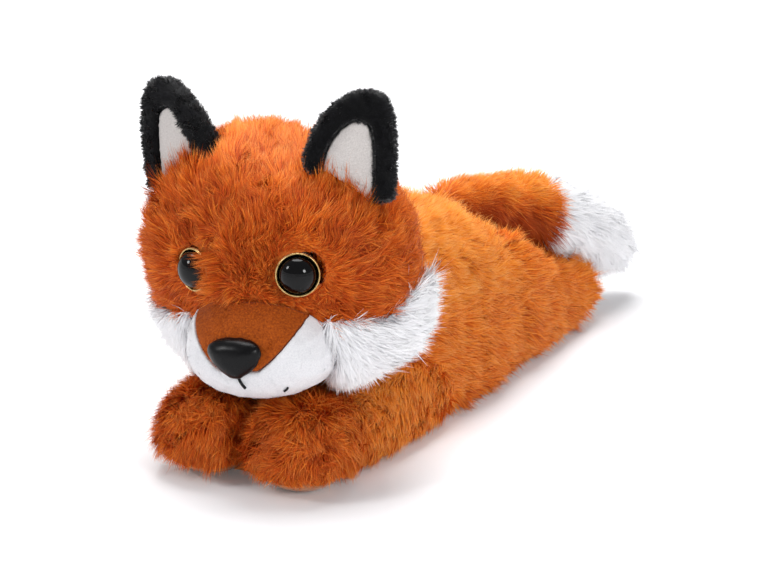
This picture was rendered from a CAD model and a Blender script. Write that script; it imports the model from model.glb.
# Looks of the plush slap bracelet: a stuffed fox that lies on its belly over its spring strip.
# Blender units are metres. The sizes written here are millimetres, turned into metres by MM.

import math

import bmesh
import bpy
import numpy as np
from mathutils import Matrix, Vector
from mathutils.bvhtree import BVHTree
from mathutils.kdtree import KDTree


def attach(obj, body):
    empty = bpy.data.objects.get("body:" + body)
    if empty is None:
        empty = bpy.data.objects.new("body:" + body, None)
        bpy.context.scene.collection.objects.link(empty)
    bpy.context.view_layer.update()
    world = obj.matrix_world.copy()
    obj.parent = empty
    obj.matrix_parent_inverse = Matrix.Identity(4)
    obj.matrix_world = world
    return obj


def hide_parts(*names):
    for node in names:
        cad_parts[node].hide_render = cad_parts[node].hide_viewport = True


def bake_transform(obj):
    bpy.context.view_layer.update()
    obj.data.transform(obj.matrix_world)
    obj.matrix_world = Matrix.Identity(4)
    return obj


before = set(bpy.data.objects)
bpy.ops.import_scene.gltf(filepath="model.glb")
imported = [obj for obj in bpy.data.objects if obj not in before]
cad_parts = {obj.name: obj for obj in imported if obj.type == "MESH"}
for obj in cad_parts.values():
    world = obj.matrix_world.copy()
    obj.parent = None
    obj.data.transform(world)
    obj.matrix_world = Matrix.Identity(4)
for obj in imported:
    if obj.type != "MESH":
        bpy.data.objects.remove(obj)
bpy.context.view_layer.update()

MM = 0.001
SIDES = {"left": 1, "right": -1}
BODIES = ["paws", "forelegs", "chest", "loin", "rump", "hind_legs", "hind_feet"]

# Six hinge lines part the seven bodies: their pitch, and how far a cover bends on each side of one
HINGE_PITCH = 26.4
# Past either end of the animal
FAR = 1000

# The head's own frame: turned 6 degrees to its left and leaning 4 degrees to its right
HEAD = (Matrix.Translation((-1, -60, 66)) @ Matrix.Rotation(math.radians(6), 4, "Z")
        @ Matrix.Rotation(math.radians(-4), 4, "Y"))

STRAND_DENSITY = 9
STRAND_WIDTH = 0.24
ROOT_DEPTH = 0.4
FLOOR_GAP = 0.3
TUFT_SIZE = 26

# How long the strands are
BODY_FUR, LIMB_FUR = 7.0, 6.6
FACE_FUR, BRIDGE_FUR, BROW_FUR, CHEEK_FUR = 5.8, 5, 6.4, 4.6
TAIL_FUR, TAIL_END_FUR = 6.4, 8.6
EAR_PILE, MUZZLE_NAP = 1.7, 0.8


# Colour and material helpers

def linear(text):
    channels = [int(text[i:i + 2], 16) / 255 for i in (1, 3, 5)]
    return [c / 12.92 if c <= 0.04045 else ((c + 0.055) / 1.055) ** 2.4 for c in channels] + [1]


def add(tree, kind, inputs=None, **settings):
    node = tree.nodes.new(kind)
    for key, value in settings.items():
        setattr(node, key, value)
    for socket, value in (inputs or {}).items():
        if isinstance(value, bpy.types.NodeSocket):
            tree.links.new(value, node.inputs[socket])
        else:
            node.inputs[socket].default_value = value
    return node


def ramp(tree, factor, *stops):
    node = add(tree, "ShaderNodeValToRGB", {"Fac": factor})
    elements = node.color_ramp.elements
    while len(elements) < len(stops):
        elements.new(0.5)
    for element, (place, colour) in zip(elements, stops):
        element.position = place
        element.color = linear(colour)
    return node.outputs["Color"]


def new_material(name, **values):
    made = bpy.data.materials.new(name)
    made.use_nodes = True
    tree = made.node_tree
    tree.nodes.clear()
    shader = add(tree, "ShaderNodeBsdfPrincipled", values)
    add(tree, "ShaderNodeOutputMaterial", {"Surface": shader.outputs["BSDF"]})
    return made, tree, shader


def raised(tree, shader, height, depth, strength):
    """Bump of depth millimetres."""
    bump = add(tree, "ShaderNodeBump", {
        "Height": height, "Distance": depth * MM, "Strength": strength})
    tree.links.new(bump.outputs["Normal"], shader.inputs["Normal"])


def fibre_material(name, along, tints, sheen=0.0, glow=0.0, gloss=0.12):
    """Plush fibre. The colour runs along a strand from root to tip, and each strand has its own tint.
    glow is the share of the light that comes through a strand."""
    made, tree, shader = new_material(name, **{
        "Roughness": 0.55, "Specular IOR Level": gloss, "Sheen Weight": sheen,
        "Sheen Roughness": 0.45})
    place = add(tree, "ShaderNodeUVMap", uv_map="OFBake").outputs["UV"]
    parts = add(tree, "ShaderNodeSeparateXYZ", {"Vector": place}).outputs
    colour = add(tree, "ShaderNodeMix", {
        "Factor": 1.0, "A": ramp(tree, parts["Y"], *along), "B": ramp(tree, parts["X"], *tints),
    }, data_type="RGBA", blend_type="MULTIPLY").outputs[2]
    tree.links.new(colour, shader.inputs["Base Color"])
    through = add(tree, "ShaderNodeBsdfTranslucent", {"Color": colour})
    both = add(tree, "ShaderNodeMixShader", {"Fac": glow})
    tree.links.new(shader.outputs["BSDF"], both.inputs[1])
    tree.links.new(through.outputs["BSDF"], both.inputs[2])
    tree.links.new(both.outputs["Shader"], tree.nodes["Material Output"].inputs["Surface"])
    return made


def cloth_material(name, low, high, grain, depth, sheen=0.4):
    """Short brushed cloth: a mottled pile of grain millimetres, raised by depth millimetres."""
    made, tree, shader = new_material(name, **{
        "Roughness": 0.9, "Specular IOR Level": 0.2, "Sheen Weight": sheen, "Sheen Roughness": 0.4})
    place = add(tree, "ShaderNodeTexCoord").outputs["Object"]
    pile = add(tree, "ShaderNodeTexNoise", {
        "Vector": place, "Scale": 1 / (grain * MM), "Detail": 4.0, "Roughness": 0.62}).outputs["Fac"]
    tree.links.new(ramp(tree, pile, (0.3, low), (0.7, high)), shader.inputs["Base Color"])
    raised(tree, shader, pile, depth, 0.8)
    return made


def hard_material(name, low, high, grain, roughness, depth=0.0, stretch=(1, 1, 1), **values):
    """Plastic or metal: cloudy between two colours and two roughnesses over grain millimetres."""
    made, tree, shader = new_material(name, **values)
    place = add(tree, "ShaderNodeTexCoord").outputs["Object"]
    drawn = add(tree, "ShaderNodeMapping", {"Vector": place, "Scale": stretch}).outputs["Vector"]
    cloud = add(tree, "ShaderNodeTexNoise", {
        "Vector": drawn, "Scale": 1 / (grain * MM), "Detail": 3.0, "Roughness": 0.55}).outputs["Fac"]
    tree.links.new(ramp(tree, cloud, (0.3, low), (0.7, high)), shader.inputs["Base Color"])
    tree.links.new(add(tree, "ShaderNodeMapRange", {
        "Value": cloud, "From Min": 0.3, "From Max": 0.7, "To Min": roughness[0],
        "To Max": roughness[1]}).outputs["Result"], shader.inputs["Roughness"])
    if depth:
        raised(tree, shader, cloud, depth, 0.6)
    return made


# Mesh helpers

def placed(name, data):
    made = bpy.data.objects.new(name, data)
    bpy.context.scene.collection.objects.link(made)
    return made


def piece(name, shape):
    mesh = bpy.data.meshes.new(name)
    shape.to_mesh(mesh)
    shape.free()
    return placed(name, mesh)


def as_mesh(obj):
    graph = bpy.context.evaluated_depsgraph_get()
    return bpy.data.meshes.new_from_object(obj.evaluated_get(graph))


def vertices(obj):
    """Places in millimetres and outward directions of a mesh's vertices."""
    count = len(obj.data.vertices) * 3
    at, out = np.empty(count), np.empty(count)
    obj.data.vertices.foreach_get("co", at)
    obj.data.vertices.foreach_get("normal", out)
    return at.reshape(-1, 3) / MM, out.reshape(-1, 3)


def moved(obj, places):
    obj.data.vertices.foreach_set("co", (places * MM).ravel())
    obj.data.update()


def skin_of(name, nodes, voxel, rounds, swell=0.0, levels=0):
    """Copied solids as one even cloth skin, eased by rounds and swollen a little."""
    shape = bmesh.new()
    for node in nodes:
        shape.from_mesh(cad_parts[node].data)
    bmesh.ops.remove_doubles(shape, verts=shape.verts, dist=1e-6)
    made = piece(name, shape)
    remesh = made.modifiers.new("one skin", "REMESH")
    remesh.mode = "VOXEL"
    remesh.voxel_size = voxel * MM
    ease = made.modifiers.new("eased", "SMOOTH")
    ease.factor = 0.5
    ease.iterations = rounds
    if levels:
        finer = made.modifiers.new("finer", "SUBSURF")
        finer.levels = levels
        finer.render_levels = levels
    mesh = as_mesh(made)
    made.modifiers.clear()
    made.data = mesh
    if swell:
        at, out = vertices(made)
        moved(made, at + out * swell)
    made.data.shade_smooth()
    return made


def finished(obj, body, material, replaces=()):
    obj.data.materials.clear()
    obj.data.materials.append(material)
    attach(obj, body)
    if replaces:
        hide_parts(*replaces)


def bending(obj):
    """Bends a piece over the hinge line between a body and the next one behind it."""
    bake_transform(obj)


def split_skin(obj, ranges):
    """The skin cut square at the given places along Y, with one piece for each range."""
    made = []
    for front, rear in ranges:
        shape = bmesh.new()
        shape.from_mesh(obj.data)
        for place, normal in ((front, 1), (rear, -1)):
            bmesh.ops.bisect_plane(
                shape, geom=shape.verts[:] + shape.edges[:] + shape.faces[:], dist=1e-7,
                plane_co=(0, place * MM, 0), plane_no=(0, -normal, 0), clear_outer=True)
        made.append(piece(f"{obj.name}_{len(made) + 1}", shape))
        made[-1].data.shade_smooth()
    bpy.data.objects.remove(obj)
    return made


def tree_of(obj):
    shape = bmesh.new()
    shape.from_mesh(obj.data)
    made = BVHTree.FromBMesh(shape)
    shape.free()
    return made


def finder_of(spots):
    finder = KDTree(len(spots))
    for i, spot in enumerate(spots):
        finder.insert(spot, i)
    finder.balance()
    return finder


# Shaping helpers. Places and directions are rows of x, y and z in millimetres.

def unit(vectors):
    return vectors / np.maximum(np.linalg.norm(vectors, axis=1, keepdims=True), 1e-9)


def fade_in(distance, width):
    """0 up to the start and 1 from width past it on."""
    return np.clip(distance / width, 0, 1)


def hump(*parts):
    """1 at a place, fading to 0 round it. Each part is a distance from the place and a width."""
    return np.exp(-sum((distance / width) ** 2 for distance, width in parts))


def drift(points, size, seed, waves=10):
    """A smooth random direction at each point, which changes over about size millimetres."""
    dice = np.random.default_rng(seed)
    total = np.zeros_like(points)
    for _ in range(waves):
        wave = dice.normal(size=3)
        wave *= 2 * math.pi / (size * np.linalg.norm(wave) * dice.uniform(0.7, 1.5))
        total += np.sin((points @ wave)[:, None] + dice.uniform(0, 2 * math.pi, 3))
    return total / math.sqrt(waves / 2)


head_matrix = np.array(HEAD)
head_turn, head_middle = head_matrix[:3, :3], head_matrix[:3, 3]


def in_head(points):
    """Places in the head's frame: x to its left, y back and z up."""
    return (points - head_middle) @ head_turn


def from_head(vectors):
    return vectors @ head_turn.T


# Fur helpers

# For each skin, which of its vertices are free to carry fur
free_spots = {}

# A skin moves in by this share of its thickness at most, and the move is eased by so many rounds
THICKNESS_SHARE, EASING_ROUNDS = 0.42, 12


def set_in(obj, depth, others, sole=False):
    """Sets a skin in by the depth that its fur takes up, and notes where it is free to carry fur.
    A thin edge, a part that lies under another skin, and a sole stay where they are."""
    at, out = vertices(obj)
    own = tree_of(obj)
    free = np.ones(len(at))
    thick = np.empty(len(at))
    for i, (spot, away) in enumerate(zip(at, out)):
        probe = Vector(spot + away * 0.5) * MM
        for tree in others:
            near, normal, _, _ = tree.find_nearest(probe, 30 * MM)
            if near is not None and (probe - near).dot(normal) < 0:
                free[i] = 0
                break
        hit = own.ray_cast(Vector(spot - away * 0.2) * MM, Vector(-away))[3]
        thick[i] = hit / MM if hit else 0
    move = np.minimum(depth(at) if callable(depth) else depth, THICKNESS_SHARE * thick) * free
    if sole:
        move *= np.clip(at[:, 2] / 10 - 0.3, 0, 1)
    ends = np.empty(len(obj.data.edges) * 2, int)
    obj.data.edges.foreach_get("vertices", ends)
    one, two = ends.reshape(-1, 2).T
    count = np.bincount(ends, minlength=len(at))
    for _ in range(EASING_ROUNDS):
        move = (np.bincount(one, move[two], len(at)) + np.bincount(two, move[one], len(at))) / count
    moved(obj, at - out * move[:, None])
    rooted = free.copy()
    np.maximum.at(rooted, one, free[two])
    np.maximum.at(rooted, two, free[one])
    free_spots[obj.name] = rooted


def surface(obj):
    """Triangles of a skin: their corners, the corners' normals, their middles and free areas."""
    mesh = obj.data
    mesh.calc_loop_triangles()
    points, normals = vertices(obj)
    corners = np.empty(len(mesh.loop_triangles) * 3, int)
    mesh.loop_triangles.foreach_get("vertices", corners)
    corners = corners.reshape(-1, 3)
    at, facing = points[corners], normals[corners]
    free = free_spots[obj.name][corners].min(axis=1)
    across = np.cross(at[:, 1] - at[:, 0], at[:, 2] - at[:, 0])
    return at, facing, at.mean(axis=1), free * np.linalg.norm(across, axis=1) / 2


# A strand is a flat blade: two rows of two corners and a tip, at these shares of its length
LEVELS = np.array([0, 0.5, 1])
ROWS = [(0, 1.0), (1, 0.8)]
BLADE = np.array([0, 1, 3, 2, 2, 3, 4])
CORNER_HEIGHTS = np.array([0, 0, 0.5, 0.5, 1])
CORNERS = len(CORNER_HEIGHTS)


def grow(skin, comb, reach, seed, density=1.0, lift=(50, 10), clump=0.36, width=STRAND_WIDTH,
         spread=0.35, tint=0.0, ragged=0.12, mixed=0.18):
    """Strands on a skin. comb gives each root's direction and reach its length. lift is the angle off
    the skin at root and tip. Strands crowd to their tuft by clump and stray from the comb by spread.
    Tufts differ in length by ragged and strands in shade by mixed. tint is a paler or darker shade.
    lift and tint are values, or functions of the roots."""
    dice = np.random.default_rng(seed)
    at, facing, middles, areas = surface(skin)
    areas = areas * (reach(middles) > 0)
    count = int(areas.sum() * STRAND_DENSITY * density * (1))
    chosen = np.searchsorted(np.cumsum(areas) / areas.sum(), dice.random(count))
    share = dice.random((count, 2))
    flip = share.sum(axis=1) > 1
    share[flip] = 1 - share[flip]
    share = np.column_stack([1 - share.sum(axis=1), share])[:, :, None]
    root = (at[chosen] * share).sum(axis=1)
    out = unit((facing[chosen] * share).sum(axis=1))
    length = reach(root) * dice.normal(1, 0.18, count).clip(0.5, 1.5)
    kept = length > 0.3
    root, out, length = root[kept], out[kept], length[kept]
    count = len(root)

    # Tufts, some longer than others
    tufts = dice.choice(count, max(1, count // TUFT_SIZE), replace=False)
    finder = finder_of(root[tufts])
    nearest_tuft = np.array([finder.find(spot)[1] for spot in root])
    home = tufts[nearest_tuft]
    length *= dice.normal(1, ragged, len(tufts)).clip(0.75, 1.5)[nearest_tuft]

    # The lie of the fur: the comb, turned by swirls of about 15 mm and 5 mm and by each strand
    lie = unit(comb(root)) + 0.5 * spread * drift(root, 15, seed + 1)
    lie += 0.9 * spread * drift(root, 5, seed + 2) + spread * dice.normal(size=(count, 3)) * 0.6
    lie = unit(lie - (lie * out).sum(axis=1, keepdims=True) * out)
    rise = np.radians(dice.normal(0, 9, count))
    first, last = lift(root) if callable(lift) else lift
    line = [root - out * ROOT_DEPTH]
    for low, high in zip(LEVELS[:-1], LEVELS[1:]):
        angle = (np.radians(first + (last - first) * (low + high) / 2) + rise)[:, None]
        step = out * np.sin(angle) + lie * np.cos(angle)
        line.append(line[-1] + step * (length * (high - low))[:, None])
    line = np.stack(line, axis=1)

    # Strands lean towards the strand in the middle of their tuft
    pull = (clump * dice.uniform(0.4, 1, count))[:, None, None] * (LEVELS ** 1.4)[None, :, None]
    line += (line[home] - line) * pull

    # The blades, each turned a little about its own line
    along = unit(line[:, 2] - line[:, 1])
    turn = dice.uniform(-1, 1, count)[:, None] * 0.9
    side = unit(np.cross(along, out) * np.cos(turn) + out * np.sin(turn))
    half = width * dice.uniform(0.7, 1.3, count)[:, None] / 2
    rows = []
    for level, share in ROWS:
        rows += [line[:, level] - side * half * share, line[:, level] + side * half * share]
    corners = np.stack(rows + [line[:, 2]], axis=1)
    corners[:, :, 2] = corners[:, :, 2].clip(FLOOR_GAP)
    shade = 0.5 + 0.07 * drift(root, 9, seed + 3)[:, 0] + mixed * dice.normal(size=count)
    shade += tint(root) if callable(tint) else tint
    soft = unit(out * 0.8 + unit(np.cross(side, along)) * 0.25 + lie * 0.12)
    return {"corners": corners, "root": root, "shade": shade.clip(0.02, 0.98), "normal": soft}


def fur_piece(name, fur, material, keep=None):
    """A mesh of the strands that keep lets through. No operator lays thousands of strands along a
    comb, so their corners go into the mesh as they were grown. The map's x is a strand's shade and
    its y the height along the strand."""
    mask = np.ones(len(fur["root"]), bool) if keep is None else keep(fur["root"])
    corners = fur["corners"][mask]
    count, loops = len(corners), len(BLADE)
    mesh = bpy.data.meshes.new(name)
    mesh.vertices.add(count * CORNERS)
    mesh.vertices.foreach_set("co", (corners * MM).astype(np.float32).ravel())
    mesh.loops.add(count * loops)
    mesh.loops.foreach_set("vertex_index", (
        np.arange(count)[:, None] * CORNERS + BLADE).astype(np.int32).ravel())
    mesh.polygons.add(count * 2)
    mesh.polygons.foreach_set("loop_start", (
        np.arange(count)[:, None] * loops + [0, 4]).astype(np.int32).ravel())
    mesh.update(calc_edges=True)
    spots = np.empty((count, loops, 2), np.float32)
    spots[:, :, 0] = fur["shade"][mask][:, None]
    spots[:, :, 1] = 0.01 + 0.98 * CORNER_HEIGHTS[BLADE]
    mesh.uv_layers.new(name="OFBake").data.foreach_set("uv", spots.ravel())
    mesh.shade_smooth()
    mesh.normals_split_custom_set_from_vertices(np.repeat(fur["normal"][mask], CORNERS, axis=0))
    mesh.materials.append(material)
    return placed(name, mesh)


def furred(name, fur, material, body, keep=None):
    made = fur_piece(name, fur, material, keep)
    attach(made, body)


# Materials

# Plush of crimped acrylic fibre: soft matt strands, darker where they crowd at the root
orange_fur = fibre_material("orange acrylic plush", [
    (0.0, "#d06418"), (0.35, "#f68828"), (0.72, "#ffa43c"), (1.0, "#ffc680")], [
    (0.0, "#a86840"), (0.3, "#d89466"), (0.6, "#f4d4bc"), (1.0, "#ffffff")], glow=0.08, gloss=0.14)
white_fur = fibre_material("white acrylic plush", [
    (0.0, "#f4f4fa"), (0.4, "#fcfcfe"), (1.0, "#ffffff")], [
    (0.0, "#fafafc"), (0.5, "#fefeff"), (1.0, "#ffffff")])
# Short dense pile with a little sheen at the edge, so that the black ears keep their roundness
black_pile = fibre_material("black short-pile plush", [
    (0.0, "#050506"), (0.6, "#141417"), (1.0, "#2a2a30")], [
    (0.0, "#8c8c94"), (1.0, "#ffffff")], sheen=0.25, glow=0.05)
# Brushed nap of the muzzle's tricot: short upright fibre, cut even, which softens its outline
rust_nap = fibre_material("rust brushed nap", [
    (0.0, "#8a3a0c"), (1.0, "#c45e18")], [
    (0.0, "#b09080"), (1.0, "#ffffff")], gloss=0.03)
white_nap = fibre_material("white brushed nap", [
    (0.0, "#d4d4d8"), (1.0, "#e6e6e8")], [
    (0.0, "#f4f4f6"), (1.0, "#ffffff")])
# Knitted backing: a dull ground of the fibre's own colour, seen only between strands
orange_backing = cloth_material("orange knitted backing", "#c0581a", "#dc7428", 0.7, 0.15)
white_backing = cloth_material("white knitted backing", "#f6f6f8", "#ffffff", 0.7, 0.1)
black_backing = cloth_material("black knitted backing", "#070708", "#101012", 0.7, 0.15)
# Brushed warp-knit tricot: a fine even nap that scatters light
rust_tricot = cloth_material("rust brushed tricot", "#7a3206", "#b65610", 0.6, 0.14, sheen=0.1)
white_tricot = cloth_material("white brushed tricot", "#d8d8dc", "#eaeaec", 0.45, 0.1)
tan_tricot = cloth_material("tan brushed tricot", "#a4683e", "#c48456", 0.5, 0.12)
lining_tricot = cloth_material("grey-white brushed tricot", "#bcb6b3", "#d8d3d0", 0.4, 0.1)
# Twisted cotton: a dull black line with a faint fuzz
thread_black = cloth_material("black cotton thread", "#0c0c0e", "#1c1c20", 0.3, 0.08)
# Moulded acrylic, polished: deep black, with faint swirls left by the buffing wheel
eye_black = hard_material("polished black acrylic", "#020203", "#050506", 2.5, (0.03, 0.06),
                          **{"IOR": 1.49, "Specular IOR Level": 0.22})
# Moulded polypropylene with a spark-eroded face: a broad soft highlight. The real face's grain of
# 0.03 mm is drawn as 0.25 mm.
nose_black = hard_material("satin black polypropylene", "#030304", "#07070a", 0.25, (0.26, 0.36),
                           0.02, **{"IOR": 1.49, "Specular IOR Level": 0.18})
# Gold-coloured plating on plastic: warm, duller where hands have rubbed it
ring_gold = hard_material("gold-plated plastic", "#a98548", "#dcc088", 1.6, (0.2, 0.42), 0.01,
                          **{"Metallic": 0.9})
# Stamped polyethylene sheet: milky, with a faint drag from the die
washer_white = hard_material("natural polyethylene", "#cfcfca", "#e2e2dc", 0.8, (0.4, 0.6), 0.02,
                             (1, 1, 4), **{"IOR": 1.51})
# Calendered vinyl film, welded at the edge: smooth and slightly cloudy, embossed at about 1 mm
vinyl_blue = hard_material("welded vinyl film", "#5e7080", "#7a8c98", 1.1, (0.22, 0.42), 0.03,
                           **{"IOR": 1.53, "Coat Weight": 0.3})
# Cold-rolled spring steel: fine lengthwise rolling lines, a little uneven in its temper colour.
# The real lines of 0.05 mm are drawn as 0.4 mm.
steel_grey = hard_material("rolled spring steel", "#7e8286", "#a2a5a8", 0.4, (0.22, 0.4), 0.01,
                           (1, 0.03, 1), **{"Metallic": 1.0})


def dress_solids():
    """The strip, its jacket and the washers stay as the solids are."""
    materials = {f"{group}_{body}": material for body in BODIES
                 for group, material in (("strip", steel_grey), ("jacket", vinyl_blue))}
    materials.update({f"{part}_washer{side}": washer_white for part, side in (
        ("nose", ""), ("eye", "_left"), ("eye", "_right"))})
    for label, material in materials.items():
        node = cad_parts[label]
        node.data.materials.clear()
        node.data.materials.append(material)


# Skins under the fur

torso = skin_of("torso", [f"{stretch}_{part}" for stretch in ("chest", "loin", "rump", "seat")
                          for part in ("plush", "stuffing")],
                voxel=1.8, rounds=12)
arms = {label: skin_of(f"arm_{label}", [f"{part}_{label}" for part in (
    "shoulder", "foreleg", "paw")], voxel=1.5, rounds=8) for label in SIDES}
legs = {label: skin_of(f"leg_{label}", [f"thigh_{label}", f"hind_foot_{label}"],
                       voxel=1.5, rounds=8) for label in SIDES}
head = skin_of("head_skin", ["head_plush", "head_stuffing"], voxel=1.3, rounds=6)
cheeks = {label: skin_of(f"cheek_skin_{label}", [f"cheek_{label}"], voxel=1.2, rounds=8)
          for label in SIDES}
tail = skin_of("tail_skin", ["tail_plush", "tail_tip"], voxel=1.3, rounds=8)
muzzle_parts = {part: skin_of(f"{part}_skin", [part], voxel=0.6, rounds=4, swell=0.15)
                for part in ("muzzle_top", "muzzle_chin")}
ear_backs = {label: skin_of(f"ear_skin_{label}", [f"ear_back_{label}"], voxel=0.8, rounds=6)
             for label in SIDES}
ear_linings = {label: skin_of(f"ear_cloth_{label}", [f"ear_lining_{label}"], voxel=0.45, rounds=4,
                              swell=0.1) for label in SIDES}
belly = skin_of("belly_sleeve", [f"sleeve_{body}" for body in BODIES], voxel=1.2, rounds=3)
nose = skin_of("nose_button", ["nose"], voxel=0.5, rounds=8, swell=0.15, levels=1)


def widen_right_ear(share):
    """The right ear is sewn on fuller towards the crown."""
    outer = in_head(vertices(ear_backs["right"])[0])[:, 0].min()
    for part in (ear_backs["right"], ear_linings["right"]):
        spot = in_head(vertices(part)[0])
        spot[:, 0] = outer + (spot[:, 0] - outer) * share
        moved(part, from_head(spot) + head_middle)


widen_right_ear(1.14)

skins = {"torso": torso, "head": head, "tail": tail, **muzzle_parts}
for label in SIDES:
    skins.update({f"arm_{label}": arms[label], f"leg_{label}": legs[label],
                  f"cheek_{label}": cheeks[label], f"ear_{label}": ear_backs[label]})
trees = {name: tree_of(skin) for name, skin in skins.items()}


# Room for the fur: how far each skin is set in

def head_room(points):
    """Fur at the sides of the face stands out further than fur at the brow. The crown's tufts and
    the bridge between the eyes swell out."""
    x, y, z = in_head(points).T
    side = fade_in(np.abs(x) - 18, 18) * (z < 22)
    side *= np.where(x < 0, 1, 0.3)
    side *= 1 - 0.6 * fade_in(2 - z, 10)
    crown = fade_in(z - 16, 14) * (5.4 * fade_in(-x, 13) - 1.7)
    bridge = 3.4 * hump((x + 5, 6.5), (z - 1, 9))
    return 2.4 - 2.2 * side - crown - bridge * (y < 0)


def cheek_room(points):
    """The ruff swells against the muzzle."""
    return 3.4 - 4.8 * fade_in(31 - np.abs(in_head(points)[:, 0]), 10)


def tail_room(points):
    """The tail is fullest below and towards its low end."""
    return np.clip(1.2 + (points[:, 2] - 45) / 12, 0.6, 2.4)


ROOM = {"torso": 3, "head": head_room, "tail": tail_room, "arm": 2.6, "leg": 3,
        "cheek": cheek_room, "ear": 0.5, "muzzle": 0.3}
for name, skin in skins.items():
    kind = name.split("_")[0]
    set_in(skin, ROOM[kind], [tree for other, tree in trees.items() if other != name],
           sole=kind in ("torso", "arm", "leg"))


# Eyes: a dome on its shank, and a ring round it. Heights are measured from the seat in the cover.

SHANK_RADIUS, SHANK_LENGTH = 1.9, 5
FLANGE_RADIUS, FLANGE_FOOT, FLANGE_TOP = 6.2, 0.3, 0.8
DOME_RADIUS, DOME_FOOT, DOME_HEIGHT = 5.6, 1.2, 4.4
RING_RADIUS, RING_LEVEL, RING_HALF_WIDTH, RING_HALF_HEIGHT = 6.4, 1.05, 0.36, 0.7


def seat_of(node):
    """Where an eye's ring sits, and which way the eye looks."""
    points = np.array([v.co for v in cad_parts[node].data.vertices]) / MM
    middle = points.mean(axis=0)
    axis = np.linalg.svd(points - middle)[2][2]
    if axis @ (middle - head_middle) < 0:
        axis = -axis
    low = ((points - middle) @ axis).min()
    return middle + axis * (low - FLANGE_FOOT), axis


seats = {label: seat_of(f"eye_ring_{label}") for label in SIDES}


def turned_piece(name, profile, seat, steps=64):
    """A profile of radius and height, spun round the axis of a seat."""
    shape = bmesh.new()
    corners = [shape.verts.new((radius * MM, 0, height * MM)) for radius, height in profile]
    edges = [shape.edges.new(pair) for pair in zip(corners[:-1], corners[1:])]
    bmesh.ops.spin(shape, geom=corners + edges, cent=(0, 0, 0), axis=(0, 0, 1), dvec=(0, 0, 0),
                   angle=2 * math.pi, steps=steps, use_merge=True, use_duplicate=False)
    bmesh.ops.remove_doubles(shape, verts=shape.verts, dist=1e-6)
    bmesh.ops.recalc_face_normals(shape, faces=shape.faces)
    spot, axis = seat
    turn = Vector((0, 0, 1)).rotation_difference(Vector(axis)).to_matrix().to_4x4()
    bmesh.ops.transform(shape, matrix=Matrix.Translation(Vector(spot) * MM) @ turn,
                        verts=shape.verts)
    made = piece(name, shape)
    made.data.shade_smooth()
    return made


def make_eye(label):
    shank = [(0, -SHANK_LENGTH), (SHANK_RADIUS, -SHANK_LENGTH), (SHANK_RADIUS, FLANGE_FOOT)]
    flange = [(FLANGE_RADIUS, FLANGE_FOOT), (FLANGE_RADIUS, FLANGE_TOP),
              (DOME_RADIUS + 0.1, FLANGE_TOP + 0.1)]
    dome = [(DOME_RADIUS * math.cos(a), DOME_FOOT + DOME_HEIGHT * math.sin(a))
            for a in np.linspace(0, math.pi / 2, 17)[:-1]]
    top = [(0, DOME_FOOT + DOME_HEIGHT)]
    finished(turned_piece(f"eye_dome_{label}", shank + flange + dome + top, seats[label]),
             "chest", eye_black, [f"eye_{label}"])
    ring = [(RING_RADIUS + RING_HALF_WIDTH * math.cos(a),
             RING_LEVEL + RING_HALF_HEIGHT * math.sin(a)) for a in np.linspace(0, 2 * math.pi, 17)]
    finished(turned_piece(f"eye_rim_{label}", ring, seats[label]),
             "chest", ring_gold, [f"eye_ring_{label}"])


# The head's fur

# Fur lies away from these places inside the muzzle, in the head's frame
FACE_ROOT = np.array([0, -40, -8])
CHEEK_ROOT = np.array([0, -30, -8])

# Bare skin round an eye, and round the right eye where a brow tuft leans over it
EYE_CLEARANCE, TUFT_CLEARANCE = 7.2, 6.3


def foot_of(lining):
    """Where an ear's lining is sewn to the head: every third of its low vertices, if it is near."""
    spots = vertices(lining)[0][::3]
    low = spots[spots[:, 2] < spots[:, 2].min() + 15]
    near = [trees["head"].find_nearest(Vector(spot) * MM)[3] < 2.2 * MM for spot in low]
    return low[near]


ear_finders = [finder_of(foot_of(ear_linings[label])) for label in SIDES]


def ear_gap(points):
    """How far each point lies from the foot of the nearer ear's lining."""
    return np.min([[finder.find(point)[2] for point in points] for finder in ear_finders], axis=0)


def eye_gap(points, labels=SIDES):
    """How far each point lies from the middle of the nearer eye."""
    return np.min([np.linalg.norm(points - seats[label][0], axis=1) for label in labels], axis=0)


def beside_far_eye(points):
    """1 at the bridge side of the right eye, where tufts lean over the eye."""
    away = in_head(points) - in_head(seats["right"][0][None])
    return hump((away[:, 0] - 7.5, 3), (away[:, 2], 6)) * (away[:, 1] < 12)


def far_temple(points):
    """1 at the widest place of the face's right side, just above the eye."""
    x, _, z = in_head(points).T
    return fade_in(-x - 24, 12) * hump((z - 12, 8))


def head_comb(points):
    """Back from the muzzle, outwards round the eyes and up before the ears."""
    spot = in_head(points)
    lie = spot - FACE_ROOT
    lie[:, 2] += 6 - 10 * (spot[:, 2] < 0)
    lie = from_head(unit(lie))
    for seat, _ in seats.values():
        away = points - seat
        near = np.linalg.norm(away, axis=1, keepdims=True)
        outer = (away @ head_turn)[:, :1] * np.sign(in_head(seat[None])[:, :1]) > -3
        lie += 1.6 * outer * hump((near, 9)) * away / near
    return lie + 2.5 * hump((ear_gap(points)[:, None], 6)) * from_head(np.array([[0, 0.1, 1.0]]))


def head_lift(points):
    """Tufts stand up on the crown, before the ears and on the bridge of the nose."""
    x, _, z = in_head(points).T
    rise = np.maximum.reduce([
        0.65 * fade_in(z - 22, 10), 0.8 * hump((ear_gap(points), 6)),
        0.8 * hump((x, 8), (z - 2, 12)), 0.5 * far_temple(points)])
    return 50 + 22 * rise, 10 + 45 * rise


def head_tint(points):
    """Deeper rust on the face, paler on the crown."""
    return -0.22 + 0.2 * fade_in(in_head(points)[:, 2] - 22, 9)


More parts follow.
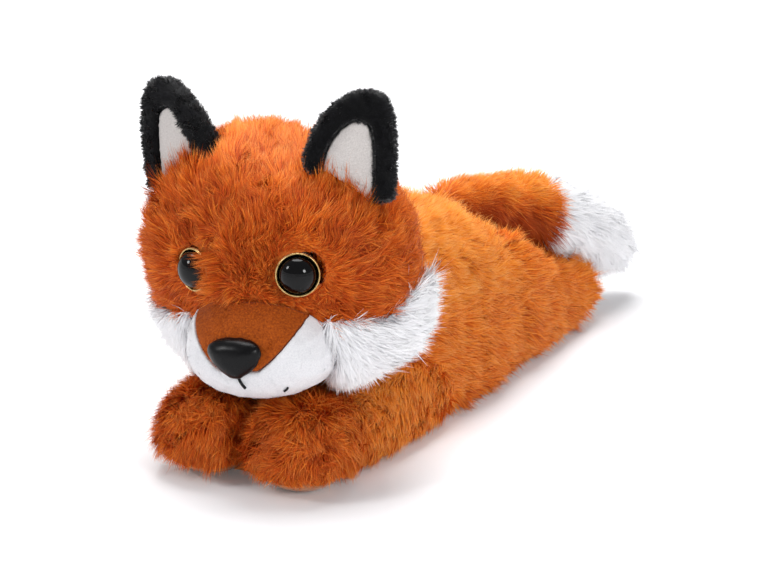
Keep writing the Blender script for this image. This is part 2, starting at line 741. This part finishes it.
def head_reach(points):
    """Short round the eyes, longer on the bridge, before the ears and at the right temple."""
    x, _, z = in_head(points).T
    nearest = eye_gap(points)
    length = FACE_FUR * np.clip((nearest - 1) / 14, 0.42, 1)
    length = np.maximum(length, BRIDGE_FUR * hump((x, 9), (z - 2, 14)))
    length += 2.2 * hump((ear_gap(points), 5)) + 1.8 * far_temple(points)
    return np.where(nearest < EYE_CLEARANCE, 0, length)


def brow_comb(points):
    return from_head(np.tile([-1.0, -0.2, -0.1], (len(points), 1)))


def brow_reach(points):
    there = (beside_far_eye(points) > 0.3) & (eye_gap(points, ["right"]) > TUFT_CLEARANCE)
    return np.where(there, BROW_FUR, 0)


def cheek_comb(points):
    """Outward and back. Beside the muzzle it turns in and down over the cloth's edge."""
    spot = in_head(points)
    lie = unit(spot - CHEEK_ROOT)
    inner = fade_in(31 - np.abs(spot[:, 0]), 10)
    lie[:, 2] -= 0.7 * inner
    lie[:, 0] -= 1.3 * inner * np.sign(spot[:, 0])
    return from_head(lie)


def cheek_reach(points):
    """Longest at the outer end of the ruff."""
    return CHEEK_FUR + 2.9 * fade_in(np.abs(in_head(points)[:, 0]) - 20, 20)


def make_cheek(label):
    fur = grow(cheeks[label], cheek_comb, cheek_reach, 21 + SIDES[label], density=1.3,
               lift=(36, 12), clump=0.08, width=0.31, spread=0.24)
    furred(f"cheek_fur_{label}", fur, white_fur, "chest")
    finished(cheeks[label], "chest", white_backing, [f"cheek_{label}"])


def quarter(side, sign):
    """One quarter of the head: its left or right side, and the face or the nape."""
    return lambda points: ((in_head(points)[:, 0] * side > 0)
                           & (in_head(points)[:, 1] * sign > 0))


def make_head():
    fur = grow(head, head_comb, head_reach, 11, density=0.87, lift=head_lift, width=0.25,
               spread=0.44, tint=head_tint, ragged=0.15)
    tuft = grow(head, brow_comb, brow_reach, 12, density=2.2, lift=(66, 34), spread=0.25,
                tint=-0.16)
    furred("brow_tuft_right", tuft, orange_fur, "chest")
    for label in SIDES:
        make_cheek(label)
    for label, side in SIDES.items():
        for part, sign in (("face", -1), ("nape", 1)):
            furred(f"{part}_fur_{label}", fur, orange_fur, "chest",
                   quarter(side, sign))
    finished(head, "chest", orange_backing, ["head_plush", "head_stuffing"])


# Ears

def ear_comb(points):
    """No lie of its own: the short pile swirls."""
    return drift(points, size=4, seed=5)


def even(length):
    return lambda points: np.full(len(points), length)


def make_ear(label):
    pile = grow(ear_backs[label], ear_comb, even(EAR_PILE), 31 + SIDES[label], density=1.1,
                lift=(70, 50), clump=0.4, width=0.3, spread=0.8)
    furred(f"ear_pile_{label}", pile, black_pile, "chest")
    finished(ear_backs[label], "chest", black_backing, [f"ear_back_{label}"])
    finished(ear_linings[label], "chest", lining_tricot, [f"ear_lining_{label}"])


# Muzzle and nose

NOSE_LEVEL, NOSE_HALF_HEIGHT, NOSE_FRONT = -20.5, 6, -42


def muzzle_comb(points):
    return np.tile([0, 0.3, -1.0], (len(points), 1))


def make_muzzle():
    finished(muzzle_parts["muzzle_top"], "chest", rust_tricot, ["muzzle_top"])
    finished(muzzle_parts["muzzle_chin"], "chest", white_tricot, ["muzzle_chin"])
    for part, fibre, slot in (("muzzle_top", rust_nap, "tricot_rust"),
                              ("muzzle_chin", white_nap, "tricot_white")):
        nap = grow(muzzle_parts[part], muzzle_comb, even(MUZZLE_NAP), 26, density=0.6, lift=(55, 20),
                   clump=0.1, width=0.24, spread=0.8)
        furred(f"{part}_nap", nap, fibre, "chest")


def make_nose():
    """A rounded triangle: broad above, narrow below, and drawn down at its lower middle."""
    spot = in_head(vertices(nose)[0])
    level = np.clip((spot[:, 2:] - NOSE_LEVEL) / NOSE_HALF_HEIGHT, -1.2, 1.2)
    front = fade_in(NOSE_FRONT - spot[:, 1:2], 2)
    spot[:, :1] *= 1 + front * (0.08 + 0.2 * level - 0.12 * level ** 2)
    spot[:, 2:] -= front * 0.7 * hump((spot[:, :1], 3)) * (level < 0)
    moved(nose, from_head(spot) + head_middle)
    finished(nose, "chest", nose_black, ["nose"])


def stitch(name, path, thickness):
    """A thread laid on the chin along a path of the head's x and z, pulled into the cloth."""
    line = bpy.data.curves.new(name, "CURVE")
    line.dimensions = "3D"
    line.bevel_depth = thickness / 2 * MM
    line.bevel_resolution = 3
    line.use_fill_caps = True
    spline = line.splines.new("BEZIER")
    spline.bezier_points.add(len(path) - 1)
    toward = Vector(from_head(np.array([[0, 1.0, 0]]))[0])
    for point, (x, z) in zip(spline.bezier_points, path):
        start = from_head(np.array([[x, -80, z]]))[0] + head_middle
        point.co = trees["muzzle_chin"].ray_cast(Vector(start) * MM, toward)[0]
        point.handle_left_type = point.handle_right_type = "AUTO"
    thread = placed(name, line)
    mesh = as_mesh(thread)
    bpy.data.objects.remove(thread)
    finished(placed(name, mesh), "chest", thread_black)


# Torso and limbs

# Where the arm's fur turns at the paw and the leg's at the foot, and the middle of each. The x is
# measured from the animal's middle plane, to either side.
PAW_START, PAW_MIDDLE = -70, (16, -84, 15)
FOOT_START, FOOT_MIDDLE = 84, (23, 92, 12)

# Below these heights the covers are smooth sole
BODY_SOLE, PAW_SOLE = 1.5, 6.5


def away_from(points, middle):
    x, y, z = middle
    count = len(points)
    return unit(points - np.column_stack([
        x * np.sign(points[:, 0]), np.full(count, y), np.full(count, z)]))


def above_sole(points, low, high, length):
    """Fur starts above the smooth sole."""
    return length * fade_in(points[:, 2] - low, high - low)


def body_comb(points):
    """Back and down the flanks."""
    return np.tile([0, 1, -0.5], (len(points), 1))


def body_reach(points):
    return above_sole(points, -1, 6, BODY_FUR)


def body_tint(points):
    """Paler along the back."""
    return 0.06 + 0.4 * fade_in(points[:, 2] - 26, 30)


def arm_comb(points):
    share = fade_in(PAW_START - points[:, 1:2], 14)
    return (share * (away_from(points, PAW_MIDDLE) + [0, -0.1, -0.35])
            + (1 - share) * np.array([0, -1, -0.45]))


def arm_lift(points):
    """Fur bursts out over the paw and lies flat along the arm."""
    share = fade_in(-66 - points[:, 1], 12)
    return 40 + 14 * share, 12 + 2 * share


def arm_tint(points):
    """Deeper rust on the paw."""
    return 0.35 * np.clip((points[:, 1] + 80) / 24, -0.5, 1)


def leg_comb(points):
    share = fade_in(points[:, 1:2] - FOOT_START, 14)
    return (share * (away_from(points, FOOT_MIDDLE) + [0, 1.2, 0.3])
            + (1 - share) * np.array([0, 1, -0.45]))


def limb_reach(points):
    """A paw and a foot show a rim of smooth sole. Behind them the fur comes down to the ground."""
    end = fade_in(-72 - points[:, 1], 10) + fade_in(points[:, 1] - FOOT_START, 10)
    return above_sole(points, -1 + 5 * end, 6 + 5 * end, LIMB_FUR)


def covered(skin, sole, nodes):
    """An orange cover with its smooth sole, stuffed, and bent over the hinge line behind a body."""
    skin.data.materials.append(orange_backing)
    skin.data.materials.append(tan_tricot)
    for face in skin.data.polygons:
        face.material_index = int(face.center.z < sole * MM)
    bending(skin)
    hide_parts(*nodes)


def between(front, rear):
    return lambda points: (points[:, 1] >= front) & (points[:, 1] < rear)


def cut_and_covered(skin, fur, fur_name, stretches):
    """A cover and its fur, cut square so that each stretch bends over one hinge line. A stretch is
    the body before the line, its two ends along Y, its sole and the nodes that it replaces."""
    parts = split_skin(skin, [stretch[1:3] for stretch in stretches])
    for number, ((body, front, rear, sole, nodes), part) in enumerate(zip(stretches, parts), 1):
        covered(part, sole, nodes)
        bending(fur_piece(f"{fur_name}_{number}", fur, orange_fur, between(front, rear)))


def make_torso():
    fur = grow(torso, body_comb, body_reach, 41, density=0.77, lift=(58, 28), clump=0.45,
               width=0.28, spread=0.45, tint=body_tint, ragged=0.18, mixed=0.26)
    cut_and_covered(torso, fur, "torso_fur", [
        ("chest", -FAR, 0, BODY_SOLE, ["chest_plush", "chest_stuffing"]),
        ("loin", 0, HINGE_PITCH, BODY_SOLE, ["loin_plush", "loin_stuffing"]),
        ("rump", HINGE_PITCH, FAR, BODY_SOLE, ["rump_plush", "rump_stuffing", "seat_plush",
                                               "seat_stuffing"])])


def make_arm(label):
    fur = grow(arms[label], arm_comb, limb_reach, 51 + SIDES[label], density=1.1, lift=arm_lift,
               clump=0.28, width=0.26, tint=arm_tint)
    wrist = -2 * HINGE_PITCH
    cut_and_covered(arms[label], fur, f"arm_fur_{label}", [
        ("paws", -FAR, wrist, PAW_SOLE, [f"paw_{label}"]),
        ("forelegs", wrist, FAR, BODY_SOLE, [f"foreleg_{label}", f"shoulder_{label}"])])


def make_leg(label):
    fur = grow(legs[label], leg_comb, limb_reach, 61 + SIDES[label], density=0.84,
               lift=(56, 24), clump=0.45, width=0.26, tint=0.06, ragged=0.18, mixed=0.24)
    covered(legs[label], PAW_SOLE, [f"thigh_{label}", f"hind_foot_{label}"])
    bending(fur_piece(f"leg_fur_{label}", fur, orange_fur))


def make_belly():
    """The sleeve is cut between its hinge lines. The last part bears the hind feet's sleeve too."""
    cuts = [-FAR, -2 * HINGE_PITCH, -HINGE_PITCH, 0, HINGE_PITCH, 2 * HINGE_PITCH, FAR]
    parts = split_skin(belly, list(zip(cuts[:-1], cuts[1:])))
    for index, part in enumerate(parts):
        part.data.materials.append(tan_tricot)
        bending(part)
        borne = BODIES[index:] if part is parts[-1] else [BODIES[index]]
        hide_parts(*[f"sleeve_{body}" for body in borne])


# Tail: a curve between three places, orange up to the seam and white past it

TAIL_ROOT, TAIL_MIDDLE, TAIL_END = [np.array(place, float) for place in (
    [0, 40.2, 55], [7, 84, 51], [29, 134, 18.5])]
TAIL_SEAM = 0.55


def on_tail(share):
    """The place at a share of the tail's length."""
    return ((1 - share) ** 2 * TAIL_ROOT + 2 * share * (1 - share) * TAIL_MIDDLE
            + share ** 2 * TAIL_END)


def along_tail(share):
    """The tail's direction there."""
    return unit(2 * (1 - share) * (TAIL_MIDDLE - TAIL_ROOT) + 2 * share * (TAIL_END - TAIL_MIDDLE))


def tail_share(points):
    """How far along the tail's curve each point lies, from 0 to 1."""
    shares = np.linspace(0, 1, 41)[:, None]
    gaps = np.linalg.norm(points[:, None] - on_tail(shares)[None], axis=2)
    return shares[gaps.argmin(axis=1)]


seam_spot = on_tail(TAIL_SEAM)
seam_along = along_tail(np.array([[TAIL_SEAM]]))[0]


def past_seam(points):
    return (points - seam_spot) @ seam_along


def below_tail(points):
    """1 along the tail's underside, 0 along its top."""
    height = (points - on_tail(tail_share(points)))[:, 2]
    return np.clip(0.65 - height / 9, 0, 1)


def fuller(points):
    """1 from the middle of the tail on, and little at the root, where the thigh needs the room."""
    return np.clip((tail_share(points)[:, 0] - 0.3) / 0.2, 0.1, 1)


def tail_comb(points):
    """Along the tail, and down where it hangs."""
    return along_tail(tail_share(points)) + below_tail(points)[:, None] * [0, 0, -0.7]


def tail_lift(points):
    low = below_tail(points) * fuller(points)
    return 56 + 8 * low, 16 + 20 * low


def tail_tint(points):
    """Deep rust below, pale above."""
    return 0.4 - 1.15 * below_tail(points)


def orange_reach(points):
    """Longer below and at the seam."""
    length = (TAIL_FUR + 1.6 * below_tail(points) * fuller(points)
              + 1.2 * hump((past_seam(points), 6)))
    return np.where(past_seam(points) > 0, 0, length)


def white_reach(points):
    return np.where(past_seam(points) > 0, TAIL_END_FUR + 1.8 * below_tail(points), 0)


def make_tail():
    orange = grow(tail, tail_comb, orange_reach, 71, lift=tail_lift, tint=tail_tint, ragged=0.16,
                  mixed=0.2)
    white = grow(tail, tail_comb, white_reach, 72, lift=(44, 12), clump=0.2, width=0.33,
                 spread=0.26, ragged=0.16)
    tail.data.materials.append(orange_backing)
    tail.data.materials.append(white_backing)
    middles = np.array([face.center for face in tail.data.polygons]) / MM
    tail.data.polygons.foreach_set("material_index", (past_seam(middles) > 0).astype(np.int32))
    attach(tail, "tail")
    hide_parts("tail_plush", "tail_tip")
    furred("tail_fur", orange, orange_fur, "tail")
    furred("tail_tip_fur", white, white_fur, "tail")


# Floor, light and camera, in metres

FLOOR_RADIUS, WALL_HEIGHT = 7, 1.4
SHADOW_RADIUS, FULL_GLOW_RADIUS = 0.2, 2.0
SENSOR_WIDTH = 36
# Pixels of the photograph: its width, and the focal length that fits its perspective
PHOTO_WIDTH, FOCAL_PIXELS = 760, 2400
AZIMUTH, ELEVATION, DISTANCE = math.radians(28), math.radians(18), 0.8
TARGET = Vector((-1.42, 0, 38.48)) * MM


def card_material():
    """White card: it glows a little where the object's shadow falls, and more further out."""
    made, tree, shader = new_material("white card", **{
        "Base Color": linear("#f4f4f6"), "Roughness": 0.9, "Specular IOR Level": 0.1})
    place = add(tree, "ShaderNodeTexCoord").outputs["Object"]
    reach = add(tree, "ShaderNodeVectorMath", {0: place}, operation="LENGTH").outputs["Value"]
    glow = add(tree, "ShaderNodeMapRange", {
        "Value": reach, "From Min": SHADOW_RADIUS, "From Max": FULL_GLOW_RADIUS, "To Min": 0.06,
        "To Max": 0.75}, interpolation_type="SMOOTHSTEP").outputs["Result"]
    ray = add(tree, "ShaderNodeLightPath").outputs
    seen = ray["Is Camera Ray"]
    for kind in ("Is Glossy Ray", "Is Transmission Ray"):
        seen = add(tree, "ShaderNodeMath", {0: seen, 1: ray[kind]}, operation="MAXIMUM").outputs[0]
    strength = add(tree, "ShaderNodeMath", {0: seen, 1: glow}, operation="MULTIPLY").outputs[0]
    paper = add(tree, "ShaderNodeEmission", {"Color": (1, 1, 1, 1), "Strength": strength})
    lit = add(tree, "ShaderNodeAddShader", {0: shader.outputs[0], 1: paper.outputs[0]})
    tree.links.new(lit.outputs[0], tree.nodes["Material Output"].inputs["Surface"])
    return made


def make_floor():
    """A round card with a low wall far off, so that a low view meets no dark horizon."""
    shape = bmesh.new()
    bmesh.ops.create_circle(shape, cap_ends=True, segments=96, radius=FLOOR_RADIUS)
    rim = [edge for edge in shape.edges if len(edge.link_faces) == 1]
    wall = bmesh.ops.extrude_edge_only(shape, edges=rim)["geom"]
    bmesh.ops.translate(shape, vec=(0, 0, WALL_HEIGHT),
                        verts=[v for v in wall if isinstance(v, bmesh.types.BMVert)])
    floor = piece("floor", shape)
    floor.data.materials.append(card_material())


def make_camera():
    back = Vector((math.sin(AZIMUTH) * math.cos(ELEVATION),
                   -math.cos(AZIMUTH) * math.cos(ELEVATION), math.sin(ELEVATION)))
    camera = placed("camera", bpy.data.cameras.new("camera"))
    camera.data.sensor_width = SENSOR_WIDTH
    camera.data.lens = FOCAL_PIXELS * SENSOR_WIDTH / PHOTO_WIDTH
    camera.data.clip_start = 0.01
    camera.location = TARGET + back * DISTANCE
    camera.rotation_euler = back.to_track_quat("Z", "Y").to_euler()
    bpy.context.scene.camera = camera


def lamp(name, place, size, power):
    data = bpy.data.lights.new(name, "AREA")
    data.shape = "DISK"
    data.size = size
    data.energy = power
    made = placed(name, data)
    made.location = place
    made.rotation_euler = (Vector(place) - TARGET).to_track_quat("Z", "Y").to_euler()


def make_lights():
    lamp("overhead softbox", (-0.2, 0.3, 1.1), 0.9, 15)
    lamp("left softbox", (-0.75, -0.9, 0.85), 0.34, 5.5)
    lamp("right softbox", (1.1, -0.55, 0.6), 0.32, 6)
    world = bpy.data.worlds.new("studio")
    bpy.context.scene.world = world
    world.use_nodes = True
    sky = world.node_tree
    sky.nodes.clear()
    add(sky, "ShaderNodeOutputWorld", {"Surface": add(sky, "ShaderNodeBackground", {
        "Color": (1, 1, 1, 1), "Strength": 0.42}).outputs[0]})
    bpy.context.scene.view_settings.view_transform = "Standard"


# The whole animal

dress_solids()
for label in SIDES:
    make_eye(label)
make_head()
for label in SIDES:
    make_ear(label)
make_muzzle()
make_nose()
stitch("lip_stitch", [(0.2, -26.4), (0.8, -28.5), (1.6, -30.6)], 0.9)
stitch("mouth_stitch", [(12.3, -32.2), (13.2, -31.6), (13.8, -30.8)], 0.7)
make_torso()
for label in SIDES:
    make_arm(label)
    make_leg(label)
make_belly()
make_tail()
make_floor()
make_camera()
make_lights()
